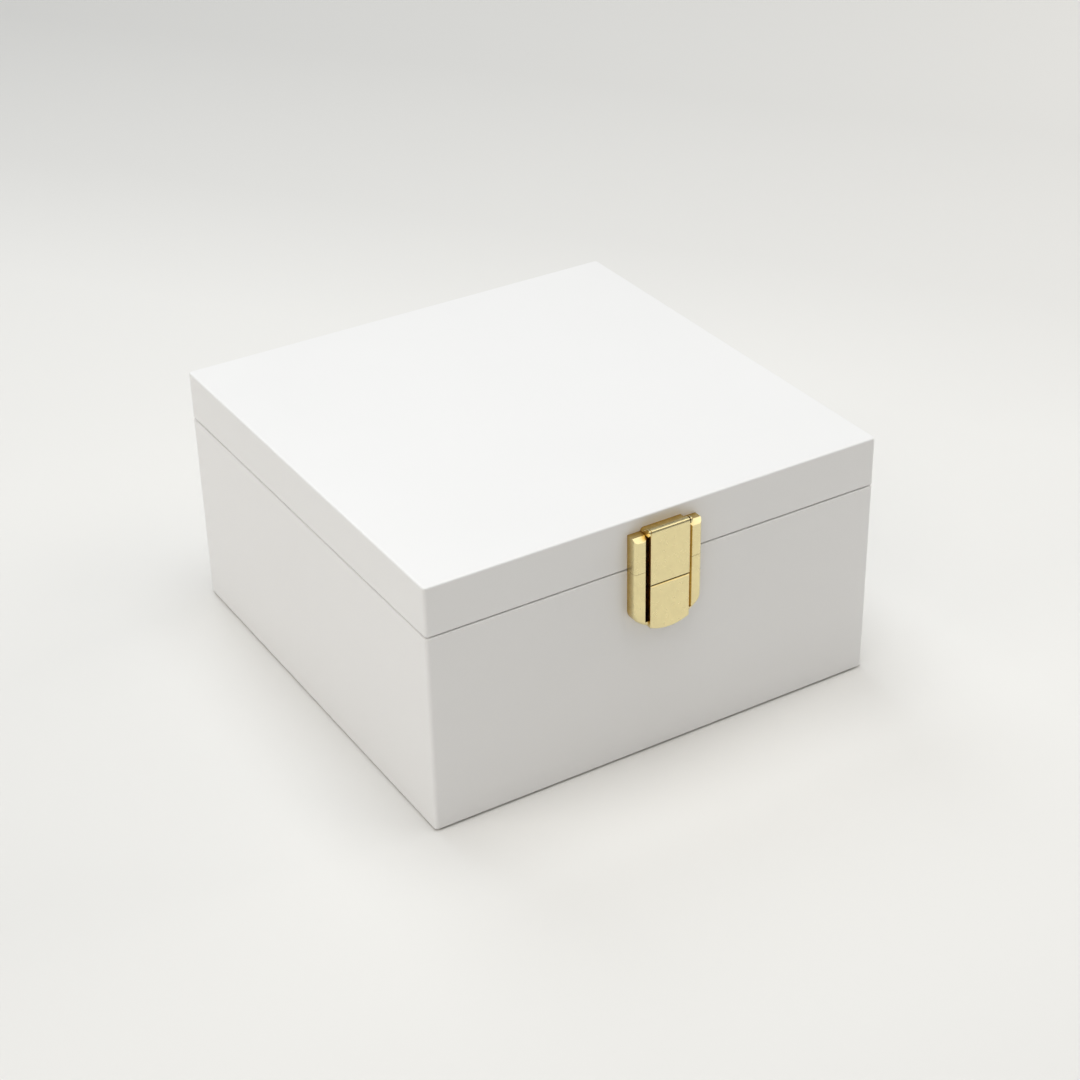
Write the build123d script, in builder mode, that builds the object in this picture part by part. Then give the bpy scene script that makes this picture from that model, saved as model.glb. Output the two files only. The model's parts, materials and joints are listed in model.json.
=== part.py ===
"""Square lacquered jewellery box: hinged lid, sliding velvet tray, snap clasp.

Millimetres, +Z up. The origin is the middle of the resting face. The front, with the
clasp, faces -Y; the lid turns on two hinges behind the back wall, at +Y.
"""

from build123d import *
import os

# ---- driving dimensions -------------------------------------------------------------
SIZE = 200.0  # width and depth of the square box
HEIGHT = 107.0
SEAM_Z = 86.0  # middle of the gap between base and lid
SEAM_GAP = 0.5
CORNER_RADIUS = 1.6  # upright corners
EASE = 0.4  # eased arrises under the lacquer
FELT = 0.8  # sheet the box stands on
FELT_INSET = 2.0

BASE_WALL = 9.0
LID_WALL = 8.0  # thinner, so the lid clears the lip
BOTTOM_PANEL = 5.0
TOP_PANEL = 8.0
TOP_ROUND = 0.7  # round on the lid's top edges
LIP = 4.0  # liners standing above the rim to register the lid

LINER = 2.5  # velvet-wrapped board
LID_LINER = 2.0
FLOOR_PAD = 2.0
LID_PAD = 2.5
MIRROR_SIZE = 124.0
MIRROR_THICK = 3.0
MIRROR_BEVEL = 1.2
FIT = 0.1  # hand-fitted gap between loose linings

LEDGE_WIDTH = 4.0
LEDGE_TOP = 50.0
DIVIDER = 3.0
DIVIDER_TOP = 42.0
DIVIDER_SPACING = 56.0  # between the two crosswise dividers

TRAY_WALL = 3.0
TRAY_FLOOR = 3.0
TRAY_GAP = 0.6  # each side, to the liners
TRAY_LIFT = 0.2  # above the ledges
TRAY_HEIGHT = 33.0
RING_BAY = 100.0  # width of the ring-roll bay
RING_ROLLS = 6
RING_ROLL_HEIGHT = 22.0
RIBBON_WIDTH = 12.0
RIBBON_THICK = 0.8
RIBBON_LOOP = 1.6  # clear width inside the loop
RIBBON_DROP = 16.0  # down the tray's front face
RIBBON_RISE = 8.0  # loop above the wall
TRAY_DIVIDER_DROP = 4.0  # the dividers stop below the tray's rim

HINGE_X = 60.0  # the hinges' distance from the middle
HINGE_WIDTH = 25.0
LEAF = 1.2
LEAF_DEPTH = 7.5
LEAF_FLANGE = 8.5  # down-turned part of the base leaf
KNUCKLE_RADIUS = 2.6
KNUCKLE_STANDOFF = 0.3  # between the knuckle and the back face
MIDDLE_KNUCKLE = 8.4
KNUCKLE_GAP = 0.2
PIN_RADIUS = 1.0
PIN_HEAD = 1.5
RUNNING = 0.05  # radial clearance of a turning fit
LUG_RADIUS = 0.6  # rounded end of the stop lug
LUG_REACH = 3.6  # from the hinge axis to the middle of that end
LUG_ANGLE = -34.0  # below +Y with the lid shut

SCREW_RADIUS = 1.0
SCREW_HEAD_RADIUS = 1.9
SCREW_HEAD = 0.9
SCREW_LENGTH = 9.0
SCREW_SPACING = 16.0
CROSS_SLOT = 0.5  # width and depth of a screw's cross recess

CLASP_HALF = 15.1
RAIL_INNER = 9.6
RAIL_PROUD = 5.2
RAIL_TOP = 15.0  # heights on the clasp are above the seam
RAIL_CHAMFER = 1.8
RAIL_ROUND = 1.8
RAIL_MOUTH = 0.8  # chamfer on the rails beside the flap
BACKPLATE = 1.2
CASTING_GAP = 0.12  # between the clasp's two castings, at the seam
CLASP_SPLIT = -6.1  # middle of the gap between the flap and the lower plate
SPLIT_GAP = 0.5
FLAP_HALF = 8.7  # the lower plate is as wide
FLAP_PROUD = 6.5
FLAP_SKIN = 1.6
FLAP_SIDE_TOP = 14.4
FLAP_RETURN = 1.2  # thickness of the flap's folded sides
RETURN_BACK = 1.7  # their distance from the front face
PLATE_EDGE = 0.35
LOWER_PROUD = 6.4
SLOT_END = -22.0
CLASP_BOTTOM = -26.6
CLASP_BOTTOM_RADIUS = 20.0
CLASP_CORNER = 5.0
BARREL_RADIUS = 1.4
FLAP_PIN_PROUD = FLAP_PROUD - BARREL_RADIUS  # the barrel is flush with the flap's front
FLAP_PIN_HEIGHT = 16.4
EAR = 0.7  # so that the ears stay clear of the rails beside them
EAR_GAP = 0.1
HINGE_BLOCK = 3.3  # thickness of the lid casting behind the barrel
HINGE_BLOCK_CHAMFER = 1.0
EAR_ROOT = 2.3  # where the ears rise from that block, in front of the box
FLAP_PIN_RADIUS = 0.6
STUD_HEIGHT = -3.2
STUD_NECK = 0.9
STUD_HEAD = 1.5
STUD_TIP = -2.8  # behind the front face
STUD_HEAD_LENGTH = 1.0
STUD_SLOT_WIDTH = 4.0
STUD_SLOT_TOP = -1.7
STUD_SLOT_BOTTOM = -6.5
POCKET_HALF = 3.4
POCKET_DEPTH = 4.2
POCKET_TOP = -1.4
POCKET_BOTTOM = -17.0
CLIP_STRIP = 0.4
CLIP_PLATE = 0.6
CLIP_JAW = 1.55  # inner face of each jaw from the middle
CLIP_DEPTH = 1.6
CLIP_TOP = -1.6
CLIP_FORK = -8.0
CLIP_BOTTOM = -16.0
CLIP_HALF = 3.0
CLASP_SCREW_X = 12.4
LID_SCREW_HEIGHT = 8.0
BASE_SCREW_HEIGHT = -10.0
CLIP_SCREW_HEIGHT = -13.0
CLASP_SCREW_BITE = 3.0  # thread inside the casting
CLASP_HEAD_SINK = 1.6

# ---- worked-out places ----------------------------------------------------------------
FRONT = -SIZE / 2
BACK = SIZE / 2
BASE_TOP = SEAM_Z - SEAM_GAP / 2
LID_BOTTOM = SEAM_Z + SEAM_GAP / 2
BASE_INNER = SIZE / 2 - BASE_WALL
LID_INNER = SIZE / 2 - LID_WALL
FLOOR_Z = FELT + BOTTOM_PANEL
LIP_TOP = BASE_TOP + LIP
LINED = BASE_INNER - LINER  # half the clear width inside the liners
PAD_TOP = FLOOR_Z + FLOOR_PAD
CEILING_Z = HEIGHT - TOP_PANEL
LID_LINED = LID_INNER - LID_LINER
LID_LINER_BOTTOM = LIP_TOP + 1.0
TRAY_HALF = LINED - TRAY_GAP
TRAY_Z = LEDGE_TOP + TRAY_LIFT
TRAY_TOP = TRAY_Z + TRAY_HEIGHT
TRAY_FRONT = 0.0
TRAY_BACK = TRAY_HALF
TRAY_MID = (TRAY_FRONT + TRAY_BACK) / 2
TRAY_INNER_FLOOR = TRAY_Z + TRAY_FLOOR
AXIS_Y = BACK + KNUCKLE_STANDOFF + KNUCKLE_RADIUS
AXIS_Z = SEAM_Z
LEAF_SCREW_Y = BACK - LEAF_DEPTH / 2
PIN_Y = FRONT - FLAP_PIN_PROUD
PIN_Z = SEAM_Z + FLAP_PIN_HEIGHT
PLATE_TOP = SEAM_Z + RAIL_TOP
EAR_OUTER = FLAP_HALF + EAR_GAP + EAR
LID_CASTING_Z = SEAM_Z + CASTING_GAP / 2
BASE_CASTING_Z = SEAM_Z - CASTING_GAP / 2
LEDGE_INNER = LINED - LEDGE_WIDTH
BAY_END = -TRAY_HALF + TRAY_WALL + RING_BAY
OUTER_KNUCKLE = (HINGE_WIDTH - MIDDLE_KNUCKLE) / 2 - KNUCKLE_GAP
HINGES = {"left": -HINGE_X, "right": HINGE_X}
CLASP_BASE_SCREWS = [
    (-CLASP_SCREW_X, SEAM_Z + BASE_SCREW_HEIGHT),
    (CLASP_SCREW_X, SEAM_Z + BASE_SCREW_HEIGHT),
    (0, SEAM_Z + CLIP_SCREW_HEIGHT),
]
CLASP_LID_SCREWS = [
    (-CLASP_SCREW_X, SEAM_Z + LID_SCREW_HEIGHT),
    (CLASP_SCREW_X, SEAM_Z + LID_SCREW_HEIGHT),
]
TOP_REAR = (Align.CENTER, Align.MAX, Align.MAX)
BOTTOM_REAR = (Align.CENTER, Align.MAX, Align.MIN)

SIDES = {
    "front": [(-1, -1), (1, -1)],
    "right": [(1, -1), (1, 1)],
    "back": [(1, 1), (-1, 1)],
    "left": [(-1, 1), (-1, -1)],
}
NODES = []


def keep(builder, name):
    """Label a finished piece and put it on the list of pieces to write."""
    builder.part.label = name
    NODES.append(builder)
    return builder


def block(low, high):
    """A plain block between two corners, for pockets and boards."""
    with BuildPart() as made:
        with Locations(tuple((a + b) / 2 for a, b in zip(low, high))):
            Box(*(b - a for a, b in zip(low, high)))
    return made


def mitred_board(side, inner_half, low, high, eased_ends):
    """One wall of a square frame, cut from the whole frame by its two mitre planes."""
    with BuildPart() as board:
        with BuildSketch(Plane.XY.offset(low)):
            RectangleRounded(SIZE, SIZE, CORNER_RADIUS)
        extrude(amount=high - low)
        loops = board.edges().group_by(Axis.Z)
        for end in eased_ends:
            chamfer(loops[end], EASE)
        with BuildSketch(Plane.XY.offset(low)):
            Rectangle(2 * inner_half, 2 * inner_half)
        extrude(amount=high - low, mode=Mode.SUBTRACT)
        with BuildSketch(Plane.XY.offset(low)):
            with BuildLine():
                ends = [(SIZE * x, SIZE * y) for x, y in SIDES[side]]
                Polyline((0, 0), *ends, close=True)
            make_face()
        extrude(amount=high - low, mode=Mode.INTERSECT)
    return board


def hinge_screw_places(z):
    """Where the two screws of each hinge leaf enter."""
    offsets = (-SCREW_SPACING / 2, SCREW_SPACING / 2)
    return [(x + offset, LEAF_SCREW_Y, z) for x in HINGES.values() for offset in offsets]


def wood_screw(direction, cross):
    """Countersunk screw on the Z axis, its flat face at z = 0, its point along direction.

    Without its cross recess it is the hole that it needs.
    """
    with BuildPart() as screw:
        with BuildSketch(Plane.XZ):
            with BuildLine():
                Polyline(
                    (0, 0),
                    (SCREW_HEAD_RADIUS, 0),
                    (SCREW_RADIUS, direction * SCREW_HEAD),
                    (SCREW_RADIUS, direction * (SCREW_LENGTH - SCREW_RADIUS)),
                    (0, direction * SCREW_LENGTH),
                    close=True,
                )
            make_face()
        revolve(axis=Axis.Z)
        if cross:
            Box(2 * SCREW_RADIUS, CROSS_SLOT, CROSS_SLOT, mode=Mode.SUBTRACT)
            Box(CROSS_SLOT, 2 * SCREW_RADIUS, CROSS_SLOT, mode=Mode.SUBTRACT)
    return screw.part


def clasp_screw(wall, radius, sink):
    """Pan-head screw on the Y axis, driven through a front wall from inside the box.

    Its head stands on a step CLASP_HEAD_SINK below the wall's inner face. The hole for it
    is the same shape with a wider shank and a sink as deep as that step.
    """
    step = FRONT + wall - CLASP_HEAD_SINK
    with BuildPart() as screw:
        with BuildSketch(Plane.XZ.offset(-step)):
            Circle(radius)
        extrude(amount=step - FRONT + CLASP_SCREW_BITE)
        with BuildSketch(Plane.XZ.offset(-step)):
            Circle(SCREW_HEAD_RADIUS + sink - SCREW_HEAD)
        extrude(amount=-sink)
        if sink == SCREW_HEAD:
            with Locations((0, step + SCREW_HEAD, 0)):
                Box(2 * SCREW_RADIUS, CROSS_SLOT, CROSS_SLOT, mode=Mode.SUBTRACT)
                Box(CROSS_SLOT, CROSS_SLOT, 2 * SCREW_RADIUS, mode=Mode.SUBTRACT)
    return screw.part


def clasp_outline():
    """The lower casting's outline in the plane of the front: straight sides, arched foot."""
    height = BASE_CASTING_Z - SEAM_Z - CLASP_BOTTOM
    with BuildSketch() as outline:
        with Locations((0, BASE_CASTING_Z)):
            Rectangle(2 * CLASP_HALF, height, align=(Align.CENTER, Align.MAX))
        with Locations((0, SEAM_Z + CLASP_BOTTOM + CLASP_BOTTOM_RADIUS)):
            Circle(CLASP_BOTTOM_RADIUS, mode=Mode.INTERSECT)
        fillet(outline.vertices().sort_by(Axis.Y)[:2], CLASP_CORNER)
    return outline.sketch


def rail_channel(low, high):
    """The channel between the clasp's rails, with a chamfered mouth, to cut from a casting."""
    mouth_y = FRONT - RAIL_PROUD
    half = [
        (RAIL_INNER, FRONT - BACKPLATE),
        (RAIL_INNER, mouth_y + RAIL_MOUTH),
        (RAIL_INNER + RAIL_MOUTH, mouth_y),
        (RAIL_INNER + RAIL_MOUTH, mouth_y - RAIL_PROUD),
    ]
    with BuildPart() as channel:
        with BuildSketch(Plane.XY.offset(low)):
            with BuildLine():
                Polyline(*half, *[(-x, y) for x, y in reversed(half)], close=True)
            make_face()
        extrude(amount=high - low)
    return channel.part


# ---- base: carcass --------------------------------------------------------------------
with BuildPart() as base_felt:
    with BuildSketch():
        RectangleRounded(SIZE - 2 * FELT_INSET, SIZE - 2 * FELT_INSET, 2 * CORNER_RADIUS)
    extrude(amount=FELT)
keep(base_felt, "base_felt")

keep(block((-BASE_INNER, -BASE_INNER, FELT), (BASE_INNER, BASE_INNER, FLOOR_Z)), "base_bottom_panel")

for side in ("left", "right"):
    keep(mitred_board(side, BASE_INNER, FELT, BASE_TOP, (0, -1)), f"base_{side}_board")

with BuildPart() as base_front_board:
    add(mitred_board("front", BASE_INNER, FELT, BASE_TOP, (0, -1)))
    with BuildSketch(Plane.XZ.offset(-FRONT)):
        with Locations((0, SEAM_Z + POCKET_TOP)):
            Rectangle(2 * POCKET_HALF, POCKET_TOP - POCKET_BOTTOM, align=(Align.CENTER, Align.MAX))
    extrude(amount=-POCKET_DEPTH, mode=Mode.SUBTRACT)
    with Locations(*[(x, 0, z) for x, z in CLASP_BASE_SCREWS]):
        add(clasp_screw(BASE_WALL, SCREW_RADIUS + RUNNING, CLASP_HEAD_SINK), mode=Mode.SUBTRACT)
keep(base_front_board, "base_front_board")

with BuildPart() as base_back_board:
    add(mitred_board("back", BASE_INNER, FELT, BASE_TOP, (0, -1)))
    for x in HINGES.values():
        with Locations((x, BACK, BASE_TOP)):
            Box(HINGE_WIDTH, LEAF_DEPTH, LEAF, align=TOP_REAR, mode=Mode.SUBTRACT)
            Box(HINGE_WIDTH, LEAF, LEAF_FLANGE, align=TOP_REAR, mode=Mode.SUBTRACT)
    with Locations(*hinge_screw_places(BASE_TOP)):
        add(wood_screw(-1, cross=False), mode=Mode.SUBTRACT)
keep(base_back_board, "base_back_board")

# ---- base: lining ---------------------------------------------------------------------
for side, sign in (("front", -1), ("back", 1)):
    keep(
        block(
            (-BASE_INNER, min(sign * LINED, sign * BASE_INNER), FLOOR_Z),
            (BASE_INNER, max(sign * LINED, sign * BASE_INNER), LIP_TOP),
        ),
        f"base_{side}_liner",
    )
for side, sign in (("left", -1), ("right", 1)):
    keep(
        block(
            (min(sign * LINED, sign * BASE_INNER), -LINED, FLOOR_Z),
            (max(sign * LINED, sign * BASE_INNER), LINED, LIP_TOP),
        ),
        f"base_{side}_liner",
    )
    keep(
        block(
            (min(sign * LINED, sign * LEDGE_INNER), -LINED + FIT, FLOOR_Z),
            (max(sign * LINED, sign * LEDGE_INNER), LINED - FIT, LEDGE_TOP),
        ),
        f"tray_ledge_{side}",
    )

keep(
    block((-LEDGE_INNER + FIT, -LINED + FIT, FLOOR_Z), (LEDGE_INNER - FIT, LINED - FIT, PAD_TOP)),
    "base_floor_pad",
)

NOTCH = DIVIDER + 2 * FIT
LAP_Z = (PAD_TOP + DIVIDER_TOP) / 2
with BuildPart() as long_divider:
    add(block((-LEDGE_INNER + FIT, -DIVIDER / 2, PAD_TOP), (LEDGE_INNER - FIT, DIVIDER / 2, DIVIDER_TOP)))
    with Locations((-DIVIDER_SPACING / 2, 0, LAP_Z), (DIVIDER_SPACING / 2, 0, LAP_Z)):
        Box(NOTCH, NOTCH, DIVIDER_TOP, align=(Align.CENTER, Align.CENTER, Align.MIN), mode=Mode.SUBTRACT)
keep(long_divider, "divider_lengthwise")

for side, sign in (("left", -1), ("right", 1)):
    x = sign * DIVIDER_SPACING / 2
    with BuildPart() as cross_divider:
        add(block((x - DIVIDER / 2, -LINED + FIT, PAD_TOP), (x + DIVIDER / 2, LINED - FIT, DIVIDER_TOP)))
        with Locations((x, 0, LAP_Z + FIT)):
            Box(NOTCH, NOTCH, DIVIDER_TOP, align=(Align.CENTER, Align.CENTER, Align.MAX), mode=Mode.SUBTRACT)
    keep(cross_divider, f"divider_crosswise_{side}")

# ---- hinges ---------------------------------------------------------------------------
for side, x in HINGES.items():
    with BuildPart() as base_leaf:
        with Locations((x, BACK, BASE_TOP)):
            Box(HINGE_WIDTH, LEAF_DEPTH, LEAF, align=TOP_REAR)
            Box(HINGE_WIDTH, LEAF, LEAF_FLANGE, align=TOP_REAR)
        for end in (-1, 1):
            outer = x + end * (HINGE_WIDTH - OUTER_KNUCKLE) / 2
            with Locations((outer, BACK, BASE_TOP)):
                Box(OUTER_KNUCKLE, AXIS_Y - BACK, LEAF, align=(Align.CENTER, Align.MIN, Align.MAX))
            with BuildSketch(Plane.YZ.offset(outer - OUTER_KNUCKLE / 2)):
                with Locations((AXIS_Y, AXIS_Z)):
                    Circle(KNUCKLE_RADIUS)
            extrude(amount=OUTER_KNUCKLE)
        with Locations(Location((x, AXIS_Y, AXIS_Z), (0, 90, 0))):
            Cylinder(PIN_RADIUS, HINGE_WIDTH, mode=Mode.SUBTRACT)
        with Locations(*[p for p in hinge_screw_places(BASE_TOP) if abs(p[0] - x) < HINGE_WIDTH]):
            add(wood_screw(-1, cross=False), mode=Mode.SUBTRACT)
    keep(base_leaf, f"hinge_base_leaf_{side}")

    with BuildPart() as lid_leaf:
        with Locations((x, BACK, LID_BOTTOM)):
            Box(HINGE_WIDTH, LEAF_DEPTH, LEAF, align=BOTTOM_REAR)
            Box(MIDDLE_KNUCKLE, AXIS_Y - BACK, LEAF, align=(Align.CENTER, Align.MIN, Align.MIN))
        with BuildSketch(Plane.YZ.offset(x - MIDDLE_KNUCKLE / 2)):
            with Locations((AXIS_Y, AXIS_Z)):
                Circle(KNUCKLE_RADIUS)
                with PolarLocations(LUG_REACH / 2, 1, start_angle=LUG_ANGLE):
                    SlotCenterToCenter(LUG_REACH, 2 * LUG_RADIUS)
        extrude(amount=MIDDLE_KNUCKLE)
        with Locations(Location((x, AXIS_Y, AXIS_Z), (0, 90, 0))):
            Cylinder(PIN_RADIUS + RUNNING, HINGE_WIDTH, mode=Mode.SUBTRACT)
        with Locations(*[p for p in hinge_screw_places(LID_BOTTOM) if abs(p[0] - x) < HINGE_WIDTH]):
            add(wood_screw(1, cross=False), mode=Mode.SUBTRACT)
    keep(lid_leaf, f"hinge_lid_leaf_{side}")

    with BuildPart() as hinge_pin:
        with Locations(Location((x, AXIS_Y, AXIS_Z), (0, 90, 0))):
            Cylinder(PIN_RADIUS, HINGE_WIDTH)
            with Locations((0, 0, HINGE_WIDTH / 2), (0, 0, -HINGE_WIDTH / 2)):
                Sphere(PIN_HEAD)
            Cylinder(PIN_HEAD, HINGE_WIDTH, mode=Mode.SUBTRACT)
            Cylinder(PIN_RADIUS, HINGE_WIDTH)
    keep(hinge_pin, f"hinge_pin_{side}")

with BuildPart() as hinge_base_screws:
    with Locations(*hinge_screw_places(BASE_TOP)):
        add(wood_screw(-1, cross=True))
keep(hinge_base_screws, "hinge_base_screws")

with BuildPart() as hinge_lid_screws:
    with Locations(*hinge_screw_places(LID_BOTTOM)):
        add(wood_screw(1, cross=True))
keep(hinge_lid_screws, "hinge_lid_screws")

# ---- tray -----------------------------------------------------------------------------
keep(block((-TRAY_HALF, TRAY_FRONT, TRAY_Z), (TRAY_HALF, TRAY_BACK, TRAY_INNER_FLOOR)), "tray_floor")
for side, y in (("front", TRAY_FRONT), ("back", TRAY_BACK - TRAY_WALL)):
    keep(
        block((-TRAY_HALF, y, TRAY_INNER_FLOOR), (TRAY_HALF, y + TRAY_WALL, TRAY_TOP)),
        f"tray_{side}_wall",
    )
for side, x in (("left", -TRAY_HALF), ("right", TRAY_HALF - TRAY_WALL)):
    keep(
        block(
            (x, TRAY_FRONT + TRAY_WALL, TRAY_INNER_FLOOR),
            (x + TRAY_WALL, TRAY_BACK - TRAY_WALL, TRAY_TOP),
        ),
        f"tray_{side}_wall",
    )
keep(
    block(
        (BAY_END, TRAY_FRONT + TRAY_WALL, TRAY_INNER_FLOOR),
        (BAY_END + TRAY_WALL, TRAY_BACK - TRAY_WALL, TRAY_TOP - TRAY_DIVIDER_DROP),
    ),
    "tray_bay_divider",
)
keep(
    block(
        (BAY_END + TRAY_WALL, TRAY_MID - TRAY_WALL / 2, TRAY_INNER_FLOOR),
        (TRAY_HALF - TRAY_WALL, TRAY_MID + TRAY_WALL / 2, TRAY_TOP - TRAY_DIVIDER_DROP),
    ),
    "tray_cell_divider",
)

ROLL_PITCH = (TRAY_BACK - TRAY_FRONT - 2 * TRAY_WALL) / RING_ROLLS
ROLL_RADIUS = ROLL_PITCH / 2 - FIT
for number in range(RING_ROLLS):
    y = TRAY_FRONT + TRAY_WALL + (number + 0.5) * ROLL_PITCH
    crown_z = TRAY_INNER_FLOOR + RING_ROLL_HEIGHT - ROLL_RADIUS
    with BuildPart() as ring_roll:
        with BuildSketch(Plane.YZ.offset(BAY_END - RING_BAY + FIT)):
            with Locations((y, TRAY_INNER_FLOOR)):
                Rectangle(
                    2 * ROLL_RADIUS,
                    RING_ROLL_HEIGHT - ROLL_RADIUS,
                    align=(Align.CENTER, Align.MIN),
                )
            with Locations((y, crown_z)):
                Circle(ROLL_RADIUS)
        extrude(amount=RING_BAY - 2 * FIT)
    keep(ring_roll, f"ring_roll_{number + 1}")

RIBBON_CROWN = RIBBON_LOOP / 2 + RIBBON_THICK
with BuildPart() as tray_ribbon:
    with BuildSketch(Plane.YZ.offset(-RIBBON_WIDTH / 2)):
        with Locations((TRAY_FRONT - RIBBON_THICK / 2, TRAY_TOP)):
            Rectangle(RIBBON_THICK, RIBBON_DROP, align=(Align.CENTER, Align.MAX))
        with Locations((TRAY_FRONT + RIBBON_LOOP / 2, TRAY_TOP)):
            Rectangle(2 * RIBBON_CROWN, RIBBON_RISE - RIBBON_CROWN, align=(Align.CENTER, Align.MIN))
        with Locations((TRAY_FRONT + RIBBON_LOOP / 2, TRAY_TOP + RIBBON_RISE - RIBBON_CROWN)):
            Circle(RIBBON_CROWN)
            Circle(RIBBON_LOOP / 2, mode=Mode.SUBTRACT)
        with Locations((TRAY_FRONT + RIBBON_LOOP / 2, TRAY_TOP)):
            Rectangle(
                RIBBON_LOOP,
                RIBBON_RISE - RIBBON_CROWN,
                align=(Align.CENTER, Align.MIN),
                mode=Mode.SUBTRACT,
            )
    extrude(amount=RIBBON_WIDTH)
keep(tray_ribbon, "tray_ribbon_pull")

# ---- lid ------------------------------------------------------------------------------
with BuildPart() as lid_top_panel:
    with BuildSketch(Plane.XY.offset(CEILING_Z)):
        RectangleRounded(SIZE, SIZE, CORNER_RADIUS)
    extrude(amount=TOP_PANEL)
    fillet(lid_top_panel.edges().group_by(Axis.Z)[-1], TOP_ROUND)
keep(lid_top_panel, "lid_top_panel")

for side in ("left", "right"):
    keep(mitred_board(side, LID_INNER, LID_BOTTOM, CEILING_Z, (0,)), f"lid_{side}_board")

with BuildPart() as lid_front_board:
    add(mitred_board("front", LID_INNER, LID_BOTTOM, CEILING_Z, (0,)))
    with Locations(*[(x, 0, z) for x, z in CLASP_LID_SCREWS]):
        add(clasp_screw(LID_WALL, SCREW_RADIUS + RUNNING, CLASP_HEAD_SINK), mode=Mode.SUBTRACT)
keep(lid_front_board, "lid_front_board")

with BuildPart() as lid_back_board:
    add(mitred_board("back", LID_INNER, LID_BOTTOM, CEILING_Z, (0,)))
    for x in HINGES.values():
        with Locations((x, BACK, LID_BOTTOM)):
            Box(HINGE_WIDTH, LEAF_DEPTH, LEAF, align=BOTTOM_REAR, mode=Mode.SUBTRACT)
    with Locations(*hinge_screw_places(LID_BOTTOM)):
        add(wood_screw(1, cross=False), mode=Mode.SUBTRACT)
keep(lid_back_board, "lid_back_board")

for side, sign in (("front", -1), ("back", 1)):
    keep(
        block(
            (-LID_INNER, min(sign * LID_LINED, sign * LID_INNER), LID_LINER_BOTTOM),
            (LID_INNER, max(sign * LID_LINED, sign * LID_INNER), CEILING_Z),
        ),
        f"lid_{side}_liner",
    )
for side, sign in (("left", -1), ("right", 1)):
    keep(
        block(
            (min(sign * LID_LINED, sign * LID_INNER), -LID_LINED, LID_LINER_BOTTOM),
            (max(sign * LID_LINED, sign * LID_INNER), LID_LINED, CEILING_Z),
        ),
        f"lid_{side}_liner",
    )

PAD_HALF = LID_LINED - FIT
keep(block((-PAD_HALF, -PAD_HALF, CEILING_Z - LID_PAD), (PAD_HALF, PAD_HALF, CEILING_Z)), "lid_pad")

with BuildPart() as lid_mirror:
    with BuildSketch(Plane.XY.offset(CEILING_Z - LID_PAD - MIRROR_THICK)):
        Rectangle(MIRROR_SIZE, MIRROR_SIZE)
    extrude(amount=MIRROR_THICK)
    chamfer(lid_mirror.faces().sort_by(Axis.Z)[0].edges(), MIRROR_BEVEL)
keep(lid_mirror, "lid_mirror")

# ---- clasp ----------------------------------------------------------------------------
with BuildPart() as clasp_base_plate:
    with BuildSketch(Plane.XZ.offset(-FRONT)):
        add(clasp_outline())
    extrude(amount=RAIL_PROUD)
    front_loop = clasp_base_plate.faces().sort_by(Axis.Y)[0].edges().sort_by(Axis.Z)
    fillet(front_loop[:-1], RAIL_ROUND)
    add(rail_channel(SEAM_Z + SLOT_END, SEAM_Z), mode=Mode.SUBTRACT)
    with BuildSketch(Plane.XZ.offset(-FRONT)):
        add(clasp_outline())
        with Locations((0, SEAM_Z + CLASP_SPLIT - SPLIT_GAP / 2)):
            Rectangle(
                2 * FLAP_HALF,
                CLASP_SPLIT - CLASP_BOTTOM,
                align=(Align.CENTER, Align.MAX),
                mode=Mode.INTERSECT,
            )
    extrude(amount=LOWER_PROUD)
    chamfer(clasp_base_plate.faces().sort_by(Axis.Y)[0].edges(), PLATE_EDGE)
    with BuildSketch(Plane.XZ.offset(-FRONT)):
        with Locations((0, SEAM_Z + (STUD_SLOT_TOP + STUD_SLOT_BOTTOM) / 2)):
            SlotOverall(STUD_SLOT_TOP - STUD_SLOT_BOTTOM, STUD_SLOT_WIDTH, rotation=90)
    extrude(amount=BACKPLATE, mode=Mode.SUBTRACT)
    with Locations(*[(x, 0, z) for x, z in CLASP_BASE_SCREWS]):
        add(clasp_screw(BASE_WALL, SCREW_RADIUS, CLASP_HEAD_SINK), mode=Mode.SUBTRACT)
keep(clasp_base_plate, "clasp_base_plate")

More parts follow.
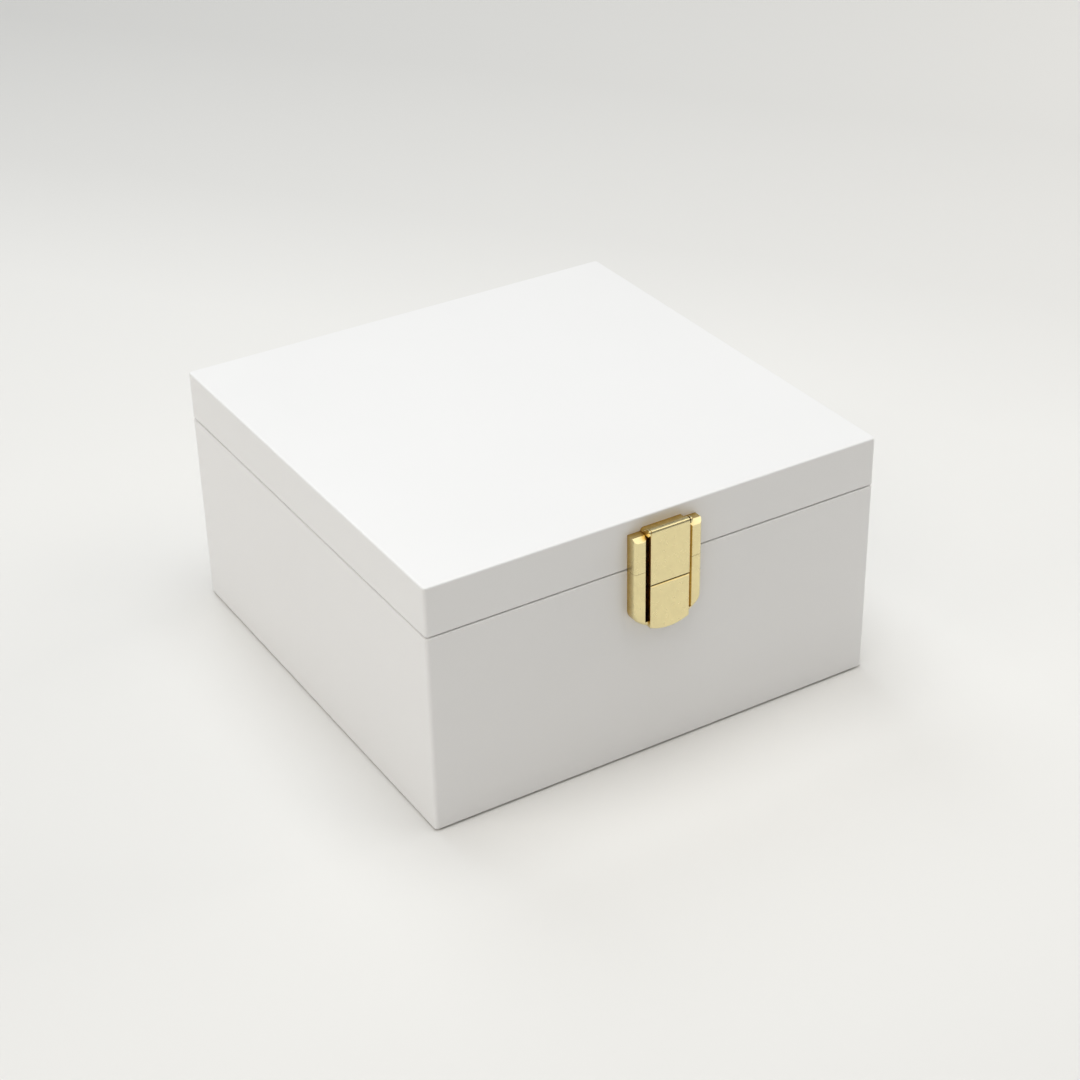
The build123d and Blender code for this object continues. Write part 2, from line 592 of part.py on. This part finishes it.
with BuildPart() as clasp_lid_plate:
    with BuildSketch(Plane.XZ.offset(-FRONT)):
        with Locations((0, LID_CASTING_Z)):
            Rectangle(2 * CLASP_HALF, PLATE_TOP - LID_CASTING_Z, align=(Align.CENTER, Align.MIN))
    extrude(amount=RAIL_PROUD)
    chamfer(clasp_lid_plate.faces().sort_by(Axis.Y)[0].edges().sort_by(Axis.Z)[-1], RAIL_CHAMFER)
    fillet(clasp_lid_plate.faces().sort_by(Axis.Y)[0].edges().filter_by(Axis.Z), RAIL_ROUND)
    add(rail_channel(SEAM_Z, HEIGHT), mode=Mode.SUBTRACT)
    with BuildSketch(Plane.XZ.offset(-FRONT)):
        with Locations((0, PLATE_TOP)):
            block_face = Rectangle(2 * EAR_OUTER, PIN_Z - PLATE_TOP, align=(Align.CENTER, Align.MIN))
        chamfer(block_face.vertices().sort_by(Axis.Y)[-2:], HINGE_BLOCK_CHAMFER)
    extrude(amount=HINGE_BLOCK)
    for end in (-1, 1):
        ear_middle = end * (EAR_OUTER - EAR / 2)
        with BuildSketch(Plane.YZ.offset(ear_middle - EAR / 2)):
            with Locations((FRONT - EAR_ROOT, PIN_Z)):
                Rectangle(FLAP_PIN_PROUD - EAR_ROOT, PIN_Z - PLATE_TOP, align=(Align.MAX, Align.MAX))
            with Locations((PIN_Y, PIN_Z)):
                Circle(BARREL_RADIUS)
        extrude(amount=EAR)
    with Locations(Location((0, PIN_Y, PIN_Z), (0, 90, 0))):
        Cylinder(FLAP_PIN_RADIUS, 2 * CLASP_HALF, mode=Mode.SUBTRACT)
    with Locations(*[(x, 0, z) for x, z in CLASP_LID_SCREWS]):
        add(clasp_screw(LID_WALL, SCREW_RADIUS, CLASP_HEAD_SINK), mode=Mode.SUBTRACT)
keep(clasp_lid_plate, "clasp_lid_plate")

FLAP_BOTTOM_Z = SEAM_Z + CLASP_SPLIT + SPLIT_GAP / 2
SKIN_BACK = FRONT - FLAP_PROUD + FLAP_SKIN
with BuildPart() as clasp_flap:
    with BuildSketch(Plane.YZ.offset(-FLAP_HALF)):
        with Locations((FRONT - FLAP_PROUD, FLAP_BOTTOM_Z)):
            Rectangle(FLAP_SKIN, PIN_Z - FLAP_BOTTOM_Z, align=(Align.MIN, Align.MIN))
        with Locations((PIN_Y, PIN_Z)):
            Circle(BARREL_RADIUS)
    extrude(amount=2 * FLAP_HALF)
    front_face = clasp_flap.faces().sort_by(Axis.Y)[0]
    chamfer(front_face.edges().filter_by(Axis.Z) + front_face.edges().sort_by(Axis.Z)[:1], PLATE_EDGE)
    for end in (-1, 1):
        with Locations((end * (FLAP_HALF - FLAP_RETURN / 2), SKIN_BACK, FLAP_BOTTOM_Z)):
            Box(
                FLAP_RETURN,
                FLAP_PROUD - FLAP_SKIN - RETURN_BACK,
                SEAM_Z + FLAP_SIDE_TOP - FLAP_BOTTOM_Z,
                align=(Align.CENTER, Align.MIN, Align.MIN),
            )
    with Locations(Location((0, PIN_Y, PIN_Z), (0, 90, 0))):
        Cylinder(FLAP_PIN_RADIUS + RUNNING, 2 * CLASP_HALF, mode=Mode.SUBTRACT)
    with BuildSketch(Plane.XZ.offset(-SKIN_BACK)):
        with Locations((0, SEAM_Z + STUD_HEIGHT)):
            Circle(STUD_NECK)
    extrude(amount=-(FRONT - STUD_TIP - SKIN_BACK))
    with BuildSketch(Plane.XZ.offset(-(FRONT - STUD_TIP - STUD_HEAD_LENGTH))):
        with Locations((0, SEAM_Z + STUD_HEIGHT)):
            Circle(STUD_HEAD)
    extrude(amount=-STUD_HEAD_LENGTH)
    chamfer(clasp_flap.faces().sort_by(Axis.Y)[-1].edges(), PLATE_EDGE)
keep(clasp_flap, "clasp_flap")

with BuildPart() as clasp_flap_pin:
    with Locations(Location((0, PIN_Y, PIN_Z), (0, 90, 0))):
        Cylinder(FLAP_PIN_RADIUS, 2 * EAR_OUTER)
keep(clasp_flap_pin, "clasp_flap_pin")

with BuildPart() as clasp_spring_clip:
    with BuildSketch(Plane.XZ.offset(-FRONT)):
        with Locations((0, SEAM_Z + CLIP_FORK)):
            Rectangle(2 * CLIP_HALF, CLIP_FORK - CLIP_BOTTOM, align=(Align.CENTER, Align.MAX))
        with Locations((0, SEAM_Z + CLIP_SCREW_HEIGHT)):
            Circle(SCREW_RADIUS + RUNNING, mode=Mode.SUBTRACT)
    extrude(amount=-CLIP_PLATE)
    with BuildSketch(Plane.XZ.offset(-FRONT)):
        for end in (-1, 1):
            with Locations((end * (CLIP_JAW + CLIP_STRIP / 2), SEAM_Z + CLIP_TOP)):
                Rectangle(CLIP_STRIP, CLIP_TOP - CLIP_FORK + CLIP_STRIP, align=(Align.CENTER, Align.MAX))
    extrude(amount=-CLIP_DEPTH)
keep(clasp_spring_clip, "clasp_spring_clip")

with BuildPart() as clasp_base_screws:
    with Locations(*[(x, 0, z) for x, z in CLASP_BASE_SCREWS]):
        add(clasp_screw(BASE_WALL, SCREW_RADIUS, SCREW_HEAD))
keep(clasp_base_screws, "clasp_base_screws")

with BuildPart() as clasp_lid_screws:
    with Locations(*[(x, 0, z) for x, z in CLASP_LID_SCREWS]):
        add(clasp_screw(LID_WALL, SCREW_RADIUS, SCREW_HEAD))
keep(clasp_lid_screws, "clasp_lid_screws")

# ---- write every piece ----------------------------------------------------------------
os.makedirs("parts", exist_ok=True)
for piece in NODES:
    export_step(piece.part, f"parts/{piece.part.label}.step")
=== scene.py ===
import json
import math

import bpy
from mathutils import Matrix, Vector, noise


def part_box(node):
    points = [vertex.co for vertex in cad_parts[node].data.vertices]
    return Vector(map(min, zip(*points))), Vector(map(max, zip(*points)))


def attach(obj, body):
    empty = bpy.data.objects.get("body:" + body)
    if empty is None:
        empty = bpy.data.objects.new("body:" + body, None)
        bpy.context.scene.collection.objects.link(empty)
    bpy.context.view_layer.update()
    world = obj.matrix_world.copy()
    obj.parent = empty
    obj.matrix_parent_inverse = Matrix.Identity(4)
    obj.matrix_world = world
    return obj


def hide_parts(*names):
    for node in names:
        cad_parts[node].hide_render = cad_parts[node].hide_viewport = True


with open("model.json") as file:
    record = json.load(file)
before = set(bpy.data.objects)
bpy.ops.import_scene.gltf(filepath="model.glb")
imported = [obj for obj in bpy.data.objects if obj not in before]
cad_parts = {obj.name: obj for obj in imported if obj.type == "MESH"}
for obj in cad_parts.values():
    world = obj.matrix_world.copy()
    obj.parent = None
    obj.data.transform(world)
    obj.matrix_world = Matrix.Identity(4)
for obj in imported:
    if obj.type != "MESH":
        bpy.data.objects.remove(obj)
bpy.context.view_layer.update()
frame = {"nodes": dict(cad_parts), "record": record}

MM = 0.001
NODES = frame["nodes"]
BODIES = frame["record"]["behaviour"]["bodies"]
BODY = {node: body for body, nodes in BODIES.items() for node in nodes}
SLOT = {part["node"]: part["material_slot"] for part in frame["record"]["subparts"]}


# ---- camera, lights and paper ---------------------------------------------------------
# The camera's numbers come from a least-squares fit to the box's corners. WORLD_LIGHT and
# the powers of over, back, front_right and low_right are within 4 percent of a fit of
# tones; the other three powers started from it. report.md says more, under "Departures".
AZIMUTH, ELEVATION, ROLL = (math.radians(a) for a in (-30.85, 31.15, -1.26))
CAMERA_PLACE = (-0.4078, -0.6953, 0.5304)
LENS, SENSOR = 75.90, 36.0  # millimetres

WORLD_LIGHT = 0.175
WORLD_COLOUR = (1.0, 0.995, 0.985, 1.0)
COOL, WARM = (0.925, 0.965, 1.0), (1.0, 0.962, 0.905)
SOFTBOXES = {  # place, size, power and colour
    "over": ((0.0, 0.0, 1.6), 1.1, 12.0, COOL),
    "back": ((0.0, 1.3, 1.6), 1.1, 8.0, COOL),
    "left": ((-1.3, 0.0, 1.6), 1.1, 4.2, WARM),
    "front_left": ((-1.0, -1.0, 1.6), 1.1, 6.8, WARM),
    "front_right": ((1.0, -1.0, 1.6), 1.1, 4.6, WARM),
    "low_left": ((-1.4, 0.1, 0.6), 0.9, 3.7, WARM),
    "low_right": ((1.4, -0.1, 0.6), 0.9, 6.3, WARM),
}
LIGHTS_AIM = (0, 0, 0.05)

# The paper's tone carries painted light and shade: it changes along one direction, set from the
# camera's azimuth.
PAPER = (0.797, 0.787, 0.763)
PAPER_HALF = 6.0  # half the side of the square of paper
PAPER_SPAN = (-0.3, 0.9)  # across the view, from its near edge to its far one
PAPER_PAINTED_SHADE = ((0.0, 0.97), (0.25, 1.0), (0.45, 1.01), (0.58, 0.93), (0.78, 0.91), (1.0, 1.0))
PAPER_TURN = AZIMUTH - math.radians(22)


# ---- material helpers -----------------------------------------------------------------
class Shader:
    """One Principled material and the few node calls that the materials below share."""

    def __init__(self, name, **sockets):
        self.material = bpy.data.materials.new(name)
        self.material.use_nodes = True
        self.tree = self.material.node_tree
        self.bsdf = self.tree.nodes["Principled BSDF"]
        for socket, value in sockets.items():
            self.bsdf.inputs[socket.replace("_", " ")].default_value = value
        coordinates = self.tree.nodes.new("ShaderNodeTexCoord")
        self.place = coordinates.outputs["Object"]

    def node(self, kind, **settings):
        made = self.tree.nodes.new("ShaderNode" + kind)
        for setting, value in settings.items():
            setattr(made, setting, value)
        return made

    def link(self, source, target):
        self.tree.links.new(source, target)

    def stretched(self, scale):
        """Object coordinates with each axis stretched by its own scale."""
        mapping = self.node("Mapping")
        mapping.inputs["Scale"].default_value = scale
        self.link(self.place, mapping.inputs["Vector"])
        return mapping.outputs["Vector"]

    def noise(self, scale, detail=2.0, roughness=0.5, place=None):
        """Noise of that many features a metre, from 0 to 1."""
        texture = self.node("TexNoise")
        texture.inputs["Scale"].default_value = scale
        texture.inputs["Detail"].default_value = detail
        texture.inputs["Roughness"].default_value = roughness
        self.link(place or self.place, texture.inputs["Vector"])
        return texture.outputs["Fac"]

    def ramp(self, value, stops):
        """A colour ramp through (position, colour) stops."""
        ramp = self.node("ValToRGB")
        elements = ramp.color_ramp.elements
        while len(elements) < len(stops):
            elements.new(0.5)
        for element, (position, colour) in zip(elements, stops):
            element.position = position
            element.color = (*colour, 1.0)
        self.link(value, ramp.inputs["Fac"])
        return ramp.outputs["Color"]

    def spread(self, value, low, high):
        """A 0 to 1 value spread over low to high."""
        spread = self.node("MapRange")
        spread.inputs["To Min"].default_value = low
        spread.inputs["To Max"].default_value = high
        self.link(value, spread.inputs["Value"])
        return spread.outputs["Result"]

    def times(self, first, second):
        """One colour multiplied by another."""
        mix = self.node("Mix", data_type="RGBA", blend_type="MULTIPLY")
        mix.inputs["Factor"].default_value = 1.0
        self.link(first, mix.inputs[6])
        self.link(second, mix.inputs[7])
        return mix.outputs[2]

    def bump(self, height, depth, strength=1.0, under=None):
        """Bump of that depth in metres, over an earlier one if there is one."""
        bump = self.node("Bump")
        bump.inputs["Strength"].default_value = strength
        bump.inputs["Distance"].default_value = depth
        self.link(height, bump.inputs["Height"])
        if under:
            self.link(under, bump.inputs["Normal"])
        return bump.outputs["Normal"]

    def finish(self, colour=None, roughness=None, normal=None):
        made = {"Base Color": colour, "Roughness": roughness, "Normal": normal}
        for socket, output in made.items():
            if output:
                self.link(output, self.bsdf.inputs[socket])
        return self.material


def mixed(colour, factor):
    """That colour made darker or lighter by a factor."""
    return tuple(min(1.0, channel * factor) for channel in colour)


# ---- materials ------------------------------------------------------------------------
def lacquer():
    """White satin spray lacquer: soft orange peel, long faint waves, a thin clear coat."""
    white = (0.865, 0.858, 0.850)
    s = Shader("white_satin_lacquer", Coat_Weight=0.25, Coat_Roughness=0.22)
    cloud = s.noise(9.0, 3.0)
    colour = s.ramp(cloud, [(0.3, mixed(white, 0.985)), (0.7, white)])
    rough = s.spread(s.noise(60.0, 4.0, 0.6), 0.34, 0.44)
    waves = s.bump(s.noise(22.0, 1.0), 0.0006, 0.12)
    peel = s.bump(s.noise(1100.0, 1.5), 0.00004, 0.22, waves)
    return s.finish(colour, rough, peel)


def gilt():
    """Pale gold plating on a cast clasp, finely brushed up and down, with painted shade that
    darkens and browns it in its recesses.
    """
    gold = (0.87, 0.755, 0.42)
    s = Shader("pale_gilt_plating", Metallic=1.0)
    # Painted shade: ambient occlusion darkens and browns the gold in corners, slots and beside the
    # box's wall.
    openness = s.node("AmbientOcclusion", samples=12)
    openness.inputs["Distance"].default_value = 6 * MM
    recess_painted_shade = s.ramp(
        openness.outputs["AO"],
        [(0.08, (0.48, 0.27, 0.07)), (0.55, (0.62, 0.47, 0.18)), (0.92, (1.0, 1.0, 1.0))],
    )
    cloud = s.ramp(s.noise(240.0, 3.0), [(0.3, mixed(gold, 0.94)), (0.7, gold)])
    tone = s.times(cloud, recess_painted_shade)
    brushed = s.noise(1.0, 3.0, 0.6, s.stretched((9000.0, 9000.0, 500.0)))
    rough = s.spread(s.noise(700.0, 4.0, 0.6), 0.24, 0.33)
    lines = s.bump(brushed, 0.00001, 0.25)
    cast = s.bump(s.noise(400.0, 2.0), 0.00006, 0.15, lines)
    return s.finish(tone, rough, cast)


def steel():
    s = Shader("zinc_plated_steel", Metallic=1.0)
    tone = s.ramp(s.noise(900.0, 3.0), [(0.3, (0.55, 0.56, 0.58)), (0.7, (0.68, 0.68, 0.67))])
    rough = s.spread(s.noise(2500.0, 3.0), 0.25, 0.42)
    return s.finish(tone, rough, s.bump(s.noise(3000.0), 0.00002, 0.3))


def velvet(name, colour):
    """Short dense pile: fine grain, soft patches where the nap lies another way, and sheen."""
    s = Shader(name, Sheen_Weight=0.55, Sheen_Roughness=0.35, Sheen_Tint=(1.0, 0.98, 0.95, 1.0))
    nap = s.noise(26.0, 3.0, 0.45)
    grain = s.noise(4200.0, 3.0, 0.75)
    mix = s.node("Mix", data_type="FLOAT")
    mix.inputs["Factor"].default_value = 0.72
    s.link(nap, mix.inputs["A"])
    s.link(grain, mix.inputs["B"])
    tone = s.ramp(
        mix.outputs["Result"],
        [(0.32, mixed(colour, 0.78)), (0.50, colour), (0.68, mixed(colour, 1.08))],
    )
    rough = s.spread(nap, 0.84, 0.96)
    drift = s.bump(nap, 0.0004, 0.15)
    pile = s.bump(grain, 0.00018, 0.6, drift)
    return s.finish(tone, rough, pile)


def felt():
    """Pressed wool felt: crossed fibres and a mottled tone."""
    s = Shader("grey_felt", Sheen_Weight=0.3, Sheen_Roughness=0.6)
    fibres = s.noise(1.0, 4.0, 0.7, s.stretched((900.0, 3200.0, 2500.0)))
    crossing = s.noise(1.0, 4.0, 0.7, s.stretched((3200.0, 900.0, 2500.0)))
    mix = s.node("Mix", data_type="FLOAT")
    mix.inputs["Factor"].default_value = 0.5
    s.link(fibres, mix.inputs["A"])
    s.link(crossing, mix.inputs["B"])
    tone = s.ramp(mix.outputs["Result"], [(0.3, (0.30, 0.29, 0.27)), (0.7, (0.50, 0.48, 0.45))])
    return s.finish(tone, s.spread(crossing, 0.88, 1.0), s.bump(mix.outputs["Result"], 0.0002, 0.6))


def satin_ribbon():
    """Satin weave: fine ribs across the ribbon and a broad sheen."""
    s = Shader("satin_ribbon", Sheen_Weight=0.4, Sheen_Roughness=0.3, Anisotropic=0.5)
    ribs = s.node("TexWave", wave_type="BANDS", bands_direction="Z")
    ribs.inputs["Scale"].default_value = 900.0
    ribs.inputs["Distortion"].default_value = 0.6
    s.link(s.place, ribs.inputs["Vector"])
    tone = s.ramp(ribs.outputs["Fac"], [(0.2, (0.70, 0.66, 0.58)), (0.8, (0.82, 0.78, 0.70))])
    rough = s.spread(s.noise(400.0), 0.32, 0.46)
    return s.finish(tone, rough, s.bump(ribs.outputs["Fac"], 0.00005, 0.5))


def mirror():
    """Silvered glass with a faint green cast and barely uneven polish."""
    s = Shader("silvered_glass", Metallic=1.0, Coat_Weight=1.0, Coat_Roughness=0.01)
    tone = s.ramp(s.noise(14.0), [(0.3, (0.86, 0.90, 0.885)), (0.7, (0.90, 0.93, 0.92))])
    return s.finish(tone, s.spread(s.noise(50.0, 3.0), 0.012, 0.03))


def fibreboard():
    """Raw fibreboard: short pressed fibres."""
    s = Shader("raw_fibreboard")
    fibres = s.noise(1.0, 4.0, 0.7, s.stretched((400.0, 1500.0, 3000.0)))
    tone = s.ramp(fibres, [(0.3, (0.34, 0.22, 0.12)), (0.7, (0.50, 0.35, 0.21))])
    return s.finish(tone, s.spread(fibres, 0.7, 0.9), s.bump(fibres, 0.0001, 0.4))


def studio_floor():
    """Flat pale paper with painted light and shade: a little lighter beside the box and darker
    behind it.
    """
    s = Shader("studio_paper", Roughness=0.85)
    split = s.node("SeparateXYZ")
    s.link(s.place, split.inputs["Vector"])
    away = s.node("MapRange")
    away.inputs["From Min"].default_value, away.inputs["From Max"].default_value = PAPER_SPAN
    s.link(split.outputs["Y"], away.inputs["Value"])
    # Painted light and shade: the paper's colour is scaled up and down along its span.
    tone = s.ramp(away.outputs["Result"], [(at, mixed(PAPER, shade)) for at, shade in PAPER_PAINTED_SHADE])
    return s.finish(tone, None, s.bump(s.noise(900.0, 3.0), 0.0001, 0.08))


# ---- mesh helpers ---------------------------------------------------------------------
def mesh_object(name, points, faces, material):
    mesh = bpy.data.meshes.new(name)
    mesh.from_pydata([tuple(p) for p in points], [], faces)
    mesh.materials.append(material)
    mesh.shade_smooth()
    made = bpy.data.objects.new(name, mesh)
    bpy.context.scene.collection.objects.link(made)
    return made


def stations(low, high, radius, cell):
    """Places along one side: close together over each rounded edge, evenly spaced between."""
    edge = [radius * (1 - math.cos(math.radians(a))) for a in (0, 22.5, 45, 67.5)]
    inner_low, inner_high = low + radius, high - radius
    count = max(1, round((inner_high - inner_low) / cell))
    middle = [inner_low + (inner_high - inner_low) * i / count for i in range(count + 1)]
    return [low + e for e in edge] + middle + [high - e for e in reversed(edge)]


def box_grid(low, high, radius, cell):
    """Points and faces of a box whose edges are rounded, as one closed mesh."""
    lines = [stations(low[i], high[i], radius, cell[i]) for i in range(3)]
    last = [len(line) - 1 for line in lines]
    index, points, faces = {}, [], []

    def corner(i, j, k):
        if (i, j, k) not in index:
            index[i, j, k] = len(points)
            on_box = Vector((lines[0][i], lines[1][j], lines[2][k]))
            core = Vector(
                min(max(on_box[a], low[a] + radius), high[a] - radius) for a in range(3)
            )
            away = on_box - core
            points.append(core + away.normalized() * radius if away.length > 0 else on_box)
        return index[i, j, k]

    for axis in range(3):
        u, v = [a for a in range(3) if a != axis]
        for end in (0, last[axis]):
            for a in range(last[u]):
                for b in range(last[v]):
                    ring = []
                    for da, db in ((0, 0), (1, 0), (1, 1), (0, 1)):
                        at = [0, 0, 0]
                        at[axis], at[u], at[v] = end, a + da, b + db
                        ring.append(corner(*at))
                    outward = (end != 0) != (axis == 1)
                    faces.append(ring if outward else ring[::-1])
    return points, faces


def wrapped_board(node, material, radius=0.6, dent=0.12, cell=4.0, crown=0.0, up=None):
    """A velvet-wrapped board or pad in the place of its CAD solid.

    Its edges are rounded, its faces dip a little here and there, and with a crown its
    face on the side that up names stands full in the middle and falls to its edges.
    """
    low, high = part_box(node)
    thin = min(high[i] - low[i] for i in range(3))
    radius = min(radius * MM, thin * 0.45)
    points, faces = box_grid(low, high, radius, [cell * MM] * 3)
    middle = (low + high) / 2
    half = (high - low) / 2
    seed = Vector((len(node) * 1.7, sum(map(ord, node)) * 0.37, 3.1))
    for p in points:
        outward = Vector((p[i] - middle[i]) / half[i] for i in range(3))
        face_axis = max(range(3), key=lambda i: abs(outward[i]))
        wave = noise.noise(p * 55.0 + seed) * 0.5 + 0.5
        inward = math.copysign(dent * MM * wave, outward[face_axis])
        p[face_axis] -= inward
        if up and (p[up[0]] - middle[up[0]]) * up[1] > 0:
            others = [i for i in range(3) if i != up[0]]
            margin = min(half[i] - abs(p[i] - middle[i]) for i in others)
            fall = math.exp(-margin / (crown * 2.2 * MM)) if crown else 0.0
            p[up[0]] -= up[1] * fall * crown * MM
    piece = mesh_object("soft_" + node, points, faces, material)
    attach(piece, BODY[node])
    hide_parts(node)
    return piece


def ring_roll(node, material):
    """A foam ring roll: round on top, flat below, its cover drawn in at both ends."""
    low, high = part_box(node)
    width, height, length = high.y - low.y, high.z - low.z, high.x - low.x
    radius = width / 2
    seed = Vector((0, sum(map(ord, node)) * 0.61, 0))
    arch = [math.radians(a) for a in range(0, 181, 12)]
    profile = [(radius * math.cos(a), height - radius + radius * math.sin(a)) for a in arch]
    sides = [(height - radius) * f for f in (0.75, 0.5, 0.25, 0.06)]
    profile += [(-radius, z) for z in sides] + [(-radius * 0.92, 0.0), (-radius * 0.5, 0.0)]
    profile += [(radius * 0.5, 0.0), (radius * 0.92, 0.0)] + [(radius, z) for z in reversed(sides)]
    end = 2.6 * MM
    along = [0, 0.04, 0.15, 0.35, 0.65, 1.0]
    xs = [low.x + end * a for a in along] + [
        low.x + end + (length - 2 * end) * i / 24 for i in range(1, 24)
    ] + [high.x - end * a for a in reversed(along)]
    points, faces = [], []
    middle_z = low.z + height * 0.52
    for x in xs:
        into = min(x - low.x, high.x - x)
        pull = 1 - 0.30 * (1 - min(into / end, 1.0)) ** 2.2
        for n, (y, z) in enumerate(profile):
            rise = middle_z + (low.z + z - middle_z) * pull
            p = Vector((x, (low.y + high.y) / 2 + y * pull, rise))
            crease = 0.10 * math.sin(n * 2.3 + 5 * noise.noise(seed)) * math.exp(-into / (4 * MM))
            soft = 0.12 * noise.noise(p * 90 + seed) + crease - 0.16
            p.y += math.copysign(abs(soft), -y) * MM if abs(y) > radius * 0.3 else 0
            p.z -= (abs(soft) * MM) if z > height * 0.5 else 0
            points.append(p)
    count = len(profile)
    for i in range(len(xs) - 1):
        for n in range(count):
            m = (n + 1) % count
            faces.append((i * count + n, i * count + m, (i + 1) * count + m, (i + 1) * count + n))
    for ring in (0, len(xs) - 1):
        centre = Vector((xs[ring], (low.y + high.y) / 2, middle_z))
        points.append(centre)
        hub = len(points) - 1
        for n in range(count):
            m = (n + 1) % count
            face = (hub, ring * count + m, ring * count + n)
            faces.append(face if ring == 0 else face[::-1])
    piece = mesh_object("soft_" + node, points, faces, material)
    piece.modifiers.new("smooth", "SUBSURF").levels = 1
    piece.modifiers["smooth"].render_levels = 1
    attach(piece, BODY[node])
    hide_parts(node)
    return piece


def ribbon_pull(node, material):
    """A satin ribbon glued down the tray's front, looped over its rim."""
    low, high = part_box(node)
    half_width = (high.x - low.x) / 2
    thick = 0.45 * MM
    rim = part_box("tray_front_wall")[1].z
    front, rear = low.y + thick, high.y - thick
    loop_radius = (rear - front) / 2
    crown = high.z - loop_radius - thick
    line = [(front, low.z + (rim - low.z) * i / 6) for i in range(7)]
    line += [(front, rim + (crown - rim) * i / 5) for i in range(1, 6)]
    for a in range(165, -1, -15):
        line.append(
            (
                (front + rear) / 2 + loop_radius * math.cos(math.radians(a)),
                crown + loop_radius * math.sin(math.radians(a)),
            )
        )
    clear = 0.1 * MM  # the ribbon's free end stops just above the rim
    line += [(rear, rim + clear + (crown - rim) * (5 - i) / 5) for i in range(1, 6)]
    points, faces = [], []
    across = [-1, -0.94, -0.6, -0.2, 0.2, 0.6, 0.94, 1]
    for n, (y, z) in enumerate(line):
        before, after = line[max(n - 1, 0)], line[min(n + 1, len(line) - 1)]
        along = Vector((0, after[0] - before[0], after[1] - before[1])).normalized()
        side = Vector((0, -along.z, along.y))
        for face_side in (1, -1):
            for u in across[:: face_side]:
                selvedge = 0.5 if abs(u) > 0.9 else 0.38
                on_line = Vector(((low.x + high.x) / 2 + u * half_width, y, z))
                points.append(on_line + side * face_side * thick * selvedge)
    count = 2 * len(across)
    for i in range(len(line) - 1):
        for n in range(count):
            m = (n + 1) % count
            faces.append((i * count + n, i * count + m, (i + 1) * count + m, (i + 1) * count + n))
    faces.append(tuple(reversed(range(count))))
    faces.append(tuple(range((len(line) - 1) * count, len(line) * count)))
    piece = mesh_object("soft_" + node, points, faces, material)
    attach(piece, BODY[node])
    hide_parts(node)
    return piece


# ---- camera and stage -----------------------------------------------------------------

def camera():
    back = Vector((
        math.sin(AZIMUTH) * math.cos(ELEVATION),
        -math.cos(AZIMUTH) * math.cos(ELEVATION),
        math.sin(ELEVATION),
    ))
    right = Vector((math.cos(AZIMUTH), math.sin(AZIMUTH), 0))
    up = back.cross(right)
    turned_right = right * math.cos(ROLL) + up * math.sin(ROLL)
    turned_up = up * math.cos(ROLL) - right * math.sin(ROLL)
    data = bpy.data.cameras.new("camera")
    data.lens = LENS
    data.sensor_width = SENSOR
    made = bpy.data.objects.new("camera", data)
    made.matrix_world = Matrix.Translation(CAMERA_PLACE) @ Matrix(
        (turned_right, turned_up, back)
    ).transposed().to_4x4()
    bpy.context.scene.collection.objects.link(made)
    bpy.context.scene.camera = made


def area_light(name, place, size, power, colour):
    data = bpy.data.lights.new(name, "AREA")
    data.shape = "DISK"
    data.size = size
    data.energy = power
    data.color = colour
    made = bpy.data.objects.new(name, data)
    made.location = place
    made.rotation_mode = "QUATERNION"
    made.rotation_quaternion = (Vector(LIGHTS_AIM) - Vector(place)).to_track_quat("-Z", "Y")
    bpy.context.scene.collection.objects.link(made)


def studio():
    half = PAPER_HALF
    floor = mesh_object(
        "studio_floor",
        [(-half, -half, 0), (half, -half, 0), (half, half, 0), (-half, half, 0)],
        [(0, 1, 2, 3)],
        studio_floor(),
    )
    floor.rotation_euler.z = PAPER_TURN
    world = bpy.data.worlds.new("studio")
    world.use_nodes = True
    background = world.node_tree.nodes["Background"]
    background.inputs["Color"].default_value = WORLD_COLOUR
    background.inputs["Strength"].default_value = WORLD_LIGHT
    bpy.context.scene.world = world
    for side, (place, size, power, colour) in SOFTBOXES.items():
        area_light("softbox_" + side, place, size, power, colour)
    bpy.context.scene.view_settings.view_transform = "Standard"


# ---- build ----------------------------------------------------------------------------
IVORY = (0.74, 0.70, 0.63)
MATERIALS = {
    "white_lacquer": lacquer(),
    "panel": fibreboard(),
    "gilt_brass": gilt(),
    "steel": steel(),
    "velvet": velvet("ivory_velvet", IVORY),
    "ring_velvet": velvet("ivory_roll_velvet", mixed(IVORY, 1.04)),
    "ribbon": satin_ribbon(),
    "felt": felt(),
    "mirror": mirror(),
}

for name, node in NODES.items():
    node.data.materials.clear()
    node.data.materials.append(MATERIALS[SLOT[name]])

for name in NODES:
    if SLOT[name] == "ring_velvet":
        ring_roll(name, MATERIALS["ring_velvet"])
    elif name == "tray_ribbon_pull":
        ribbon_pull(name, MATERIALS["ribbon"])
    elif name == "base_felt":
        sheet = wrapped_board(name, MATERIALS["felt"], radius=0.3, dent=0.03, cell=8.0)
    elif name in ("base_floor_pad", "lid_pad"):
        facing = (2, 1) if name == "base_floor_pad" else (2, -1)
        pad = wrapped_board(name, MATERIALS["velvet"], radius=0.8, dent=0.1, crown=0.7, up=facing)
    elif SLOT[name] == "velvet":
        wrapped_board(name, MATERIALS["velvet"])

camera()
studio()
